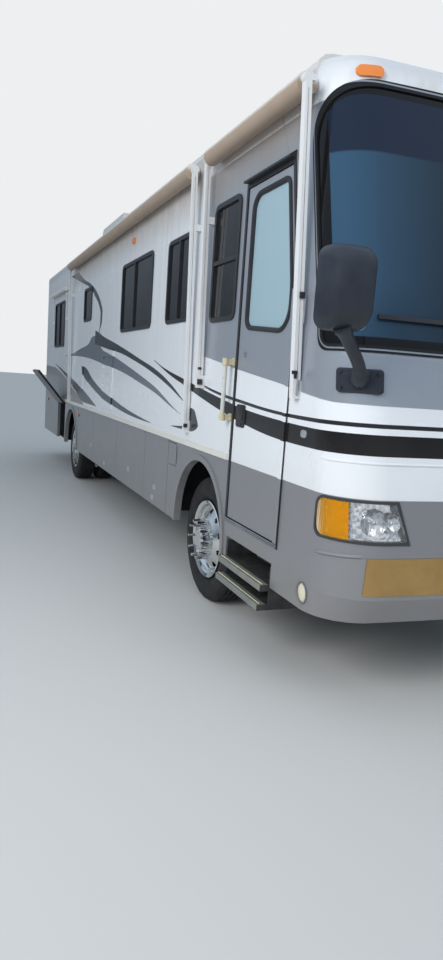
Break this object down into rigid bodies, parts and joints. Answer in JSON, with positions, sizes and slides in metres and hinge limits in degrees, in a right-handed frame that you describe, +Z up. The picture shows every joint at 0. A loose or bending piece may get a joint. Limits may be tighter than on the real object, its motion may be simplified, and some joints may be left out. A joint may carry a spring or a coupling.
{
  "type": "motorhome",
  "caption": "Rear-engined motorhome with a raked one-piece nose, entry door and step, side lockers, rolled awnings, twin rear wheels and striped two-tone paint.",
  "frame": {"origin": "on the ground under the middle of the outline", "axes": "-Y is the front, -X the kerb side with the entry door, +Z up"},
  "size_m": [3.489, 11.85, 3.7349],
  "materials": {
    "awning_fabric": "woven",
    "awning_metal": "painted white",
    "axle_steel": "matt black",
    "black_frame": "satin black",
    "body_paint": "gloss",
    "bright_rail": "anodised",
    "dash_plastic": "grained",
    "door_tint": "pale tint",
    "floor_board": "matt",
    "handle_plastic": "gloss",
    "lamp_amber": "gloss",
    "lamp_clear": "clear",
    "lamp_red": "gloss",
    "locker_lining": "matt",
    "mirror_face": "polished",
    "roof_paint": "satin",
    "seat_fabric": "woven",
    "step_tread": "ribbed",
    "tank_steel": "matt",
    "trim_chrome": "polished",
    "tyre": "matt",
    "vent_plastic": "satin",
    "window_tint": "tinted"
  },
  "bodies": {
    "chassis": {"amber_lamps": "lamp_amber", "awning_arms": "awning_metal", "awning_rolls": "awning_fabric", "bay_boxes": "locker_lining", "chassis_frame": "axle_steel", "dashboard": "dash_plastic", "engine": "axle_steel", "floor": "floor_board", "front_axle": "axle_steel", "front_cap": "body_paint", "front_lamps": "lamp_clear", "front_seals": "black_frame", "front_trim": "trim_chrome", "fuel_tank": "tank_steel", "grab_handle": "handle_plastic", "ladder": "bright_rail", "mirror_glass": "mirror_face", "mirrors": "black_frame", "rear_axle": "axle_steel", "rear_cap": "body_paint", "red_lamps": "lamp_red", "roof": "roof_paint", "roof_units": "roof_paint", "rub_rails": "bright_rail", "seats": "seat_fabric", "side_vents": "vent_plastic", "side_wall_driver": "body_paint", "side_wall_kerb": "body_paint", "skirts": "body_paint", "tow_hitch": "axle_steel", "window_and_door_frames": "black_frame", "window_glass": "window_tint", "windscreen": "window_tint", "wipers": "black_frame"},
    "knuckle_driver_body": {"knuckle_driver": "axle_steel"},
    "knuckle_kerb_body": {"knuckle_kerb": "axle_steel"},
    "front_wheel_driver": {"front_tyre_driver": "tyre", "front_rim_driver": "trim_chrome"},
    "rear_wheels_driver": {"rear_tyres_driver": "tyre", "rear_rims_driver": "trim_chrome"},
    "front_wheel_kerb": {"front_tyre_kerb": "tyre", "front_rim_kerb": "trim_chrome"},
    "rear_wheels_kerb": {"rear_tyres_kerb": "tyre", "rear_rims_kerb": "trim_chrome"},
    "entry_door_body": {"entry_door": "body_paint", "entry_door_glass": "door_tint"},
    "entry_step_body": {"entry_step": "step_tread"},
    "fuel_door_body": {"fuel_door": "body_paint"},
    "engine_door_body": {"engine_door": "body_paint"},
    "bay_kerb_1": {"bay_door_kerb_1": "body_paint"},
    "bay_kerb_2": {"bay_door_kerb_2": "body_paint"},
    "bay_kerb_3": {"bay_door_kerb_3": "body_paint"},
    "bay_kerb_4": {"bay_door_kerb_4": "body_paint"},
    "bay_kerb_5": {"bay_door_kerb_5": "body_paint"},
    "bay_driver_1": {"bay_door_driver_1": "body_paint"},
    "bay_driver_2": {"bay_door_driver_2": "body_paint"},
    "bay_driver_3": {"bay_door_driver_3": "body_paint"},
    "bay_driver_4": {"bay_door_driver_4": "body_paint"},
    "bay_driver_5": {"bay_door_driver_5": "body_paint"}
  },
  "joints": [
    {"name": "steer_driver", "type": "hinge", "parent": "chassis", "child": "knuckle_driver_body", "pos_m": [0.96, -3.635, 0.485], "axis": [0, 0, 1], "range_deg": [-40, 40]},
    {"name": "steer_kerb", "type": "hinge", "parent": "chassis", "child": "knuckle_kerb_body", "pos_m": [-0.96, -3.635, 0.485], "axis": [0, 0, 1], "range_deg": [-40, 40]},
    {"name": "front_wheel_driver_spin", "type": "hinge", "parent": "knuckle_driver_body", "child": "front_wheel_driver", "pos_m": [1.0725, -3.635, 0.485], "axis": [1, 0, 0], "continuous": true},
    {"name": "rear_wheels_driver_spin", "type": "hinge", "parent": "chassis", "child": "rear_wheels_driver", "pos_m": [1.0725, 2.485, 0.485], "axis": [1, 0, 0], "continuous": true},
    {"name": "front_wheel_kerb_spin", "type": "hinge", "parent": "knuckle_kerb_body", "child": "front_wheel_kerb", "pos_m": [-1.0725, -3.635, 0.485], "axis": [1, 0, 0], "continuous": true},
    {"name": "rear_wheels_kerb_spin", "type": "hinge", "parent": "chassis", "child": "rear_wheels_kerb", "pos_m": [-1.0725, 2.485, 0.485], "axis": [1, 0, 0], "continuous": true},
    {"name": "entry_door_swing", "type": "hinge", "parent": "chassis", "child": "entry_door_body", "pos_m": [-1.2938, -5.04, 1.8], "axis": [0, 0, 1], "range_deg": [0, 95]},
    {"name": "entry_step_slide", "type": "slide", "parent": "chassis", "child": "entry_step_body", "axis": [-1, 0, 0], "range_m": [0, 0.28]},
    {"name": "fuel_door_swing", "type": "hinge", "parent": "chassis", "child": "fuel_door_body", "pos_m": [-1.2878, -3.044, 1.067], "axis": [0, 0, 1], "range_deg": [0, 100]},
    {"name": "engine_door_lift", "type": "hinge", "parent": "chassis", "child": "engine_door_body", "pos_m": [0, 5.8203, 1.528], "axis": [1, 0, 0], "range_deg": [0, 75]},
    {"name": "bay_kerb_1_lift", "type": "hinge", "parent": "chassis", "child": "bay_kerb_1", "pos_m": [-1.2875, -2.415, 1.1777], "axis": [0, 1, 0], "range_deg": [0, 90]},
    {"name": "bay_kerb_2_lift", "type": "hinge", "parent": "chassis", "child": "bay_kerb_2", "pos_m": [-1.2875, -1.4, 1.1777], "axis": [0, 1, 0], "range_deg": [0, 90]},
    {"name": "bay_kerb_3_lift", "type": "hinge", "parent": "chassis", "child": "bay_kerb_3", "pos_m": [-1.2875, -0.07, 1.1777], "axis": [0, 1, 0], "range_deg": [0, 90]},
    {"name": "bay_kerb_4_lift", "type": "hinge", "parent": "chassis", "child": "bay_kerb_4", "pos_m": [-1.2875, 1.235, 1.1777], "axis": [0, 1, 0], "range_deg": [0, 90]},
    {"name": "bay_kerb_5_lift", "type": "hinge", "parent": "chassis", "child": "bay_kerb_5", "pos_m": [-1.2875, 3.535, 1.1777], "axis": [0, 1, 0], "range_deg": [-140, 0]},
    {"name": "bay_driver_1_lift", "type": "hinge", "parent": "chassis", "child": "bay_driver_1", "pos_m": [1.2875, -2.415, 1.1777], "axis": [0, -1, 0], "range_deg": [0, 90]},
    {"name": "bay_driver_2_lift", "type": "hinge", "parent": "chassis", "child": "bay_driver_2", "pos_m": [1.2875, -1.4, 1.1777], "axis": [0, -1, 0], "range_deg": [0, 90]},
    {"name": "bay_driver_3_lift", "type": "hinge", "parent": "chassis", "child": "bay_driver_3", "pos_m": [1.2875, -0.07, 1.1777], "axis": [0, -1, 0], "range_deg": [0, 90]},
    {"name": "bay_driver_4_lift", "type": "hinge", "parent": "chassis", "child": "bay_driver_4", "pos_m": [1.2875, 1.235, 1.1777], "axis": [0, -1, 0], "range_deg": [0, 90]},
    {"name": "bay_driver_5_lift", "type": "hinge", "parent": "chassis", "child": "bay_driver_5", "pos_m": [1.2875, 3.535, 1.1777], "axis": [0, -1, 0], "range_deg": [-140, 0]}
  ],
  "couplings": [
    {"joint": "steer_kerb", "follows": "steer_driver", "ratio": 1}
  ]
}
